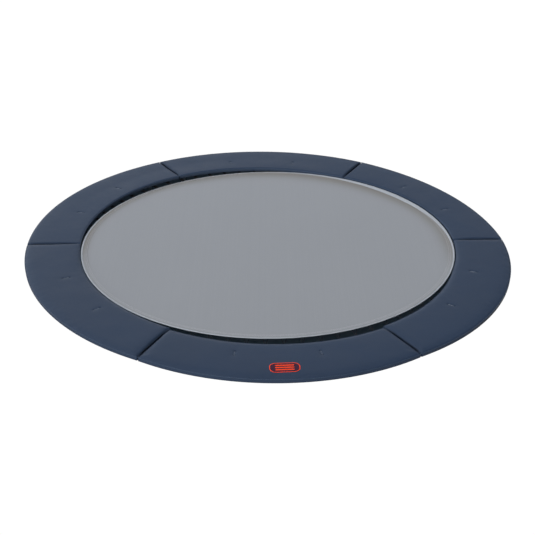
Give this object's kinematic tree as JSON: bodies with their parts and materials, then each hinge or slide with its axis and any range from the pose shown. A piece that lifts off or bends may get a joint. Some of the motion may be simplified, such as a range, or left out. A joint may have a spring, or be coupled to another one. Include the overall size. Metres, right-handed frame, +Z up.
{
  "type": "flush round trampoline",
  "caption": "Round in-ground trampoline: a grey woven jump mat on radial springs in a low tube ring on short legs, edged by flat navy vinyl pads level with the mat.",
  "frame": {"origin": "on the ground under the middle of the pad ring, at the underside of the feet", "axes": "+Z up out of the mat; the pad with the badge is on the -Y side; +X is to the right seen from there"},
  "size_m": [3.9228, 4.0677, 0.3],
  "materials": {
    "galvanised_tube": "hot-dip galvanised steel tube, dull with a faint spangle",
    "foot_rubber": "matt black moulded rubber",
    "coated_spring": "dark coated spring steel",
    "pad_vinyl": "satin navy vinyl over foam, fine grain, stitched seams",
    "strap_elastic": "black woven elastic",
    "mat_weave": "grey woven polypropylene, matt",
    "hem_webbing": "lighter grey webbing, lengthwise ribs, stitched",
    "pad_badge": "small plain printed patch with an orange-red border, no lettering"
  },
  "bodies": {
    "frame": {"top_rail_1": "galvanised_tube", "top_rail_2": "galvanised_tube", "top_rail_3": "galvanised_tube", "top_rail_4": "galvanised_tube", "top_rail_5": "galvanised_tube", "top_rail_6": "galvanised_tube", "rail_sleeve_1": "galvanised_tube", "rail_sleeve_2": "galvanised_tube", "rail_sleeve_3": "galvanised_tube", "rail_sleeve_4": "galvanised_tube", "rail_sleeve_5": "galvanised_tube", "rail_sleeve_6": "galvanised_tube", "leg_1": "galvanised_tube", "leg_2": "galvanised_tube", "leg_3": "galvanised_tube", "leg_4": "galvanised_tube", "leg_5": "galvanised_tube", "leg_6": "galvanised_tube", "foot_1": "foot_rubber", "foot_2": "foot_rubber", "foot_3": "foot_rubber", "foot_4": "foot_rubber", "foot_5": "foot_rubber", "foot_6": "foot_rubber", "spring_set_1": "coated_spring", "spring_set_2": "coated_spring", "spring_set_3": "coated_spring", "spring_set_4": "coated_spring", "spring_set_5": "coated_spring", "spring_set_6": "coated_spring", "edge_pad_1": "pad_vinyl", "edge_pad_2": "pad_vinyl", "edge_pad_3": "pad_vinyl", "edge_pad_4": "pad_vinyl", "edge_pad_5": "pad_vinyl", "edge_pad_6": "pad_vinyl", "pad_strap_1a": "strap_elastic", "pad_strap_1b": "strap_elastic", "pad_strap_2a": "strap_elastic", "pad_strap_2b": "strap_elastic", "pad_strap_3a": "strap_elastic", "pad_strap_3b": "strap_elastic", "pad_strap_4a": "strap_elastic", "pad_strap_4b": "strap_elastic", "pad_strap_5a": "strap_elastic", "pad_strap_5b": "strap_elastic", "pad_strap_6a": "strap_elastic", "pad_strap_6b": "strap_elastic"},
    "jump_bed": {"jump_mat": "mat_weave", "mat_hem": "hem_webbing"}
  },
  "joints": [
    {"name": "mat_bounce", "type": "slide", "parent": "frame", "child": "jump_bed", "axis": [0, 0, 1], "range_m": [-0.22, 0], "stiffness_N_per_m": 8000, "springref_m": 0.02, "deforming": ["spring_set_1", "spring_set_2", "spring_set_3", "spring_set_4", "spring_set_5", "spring_set_6"]}
  ]
}
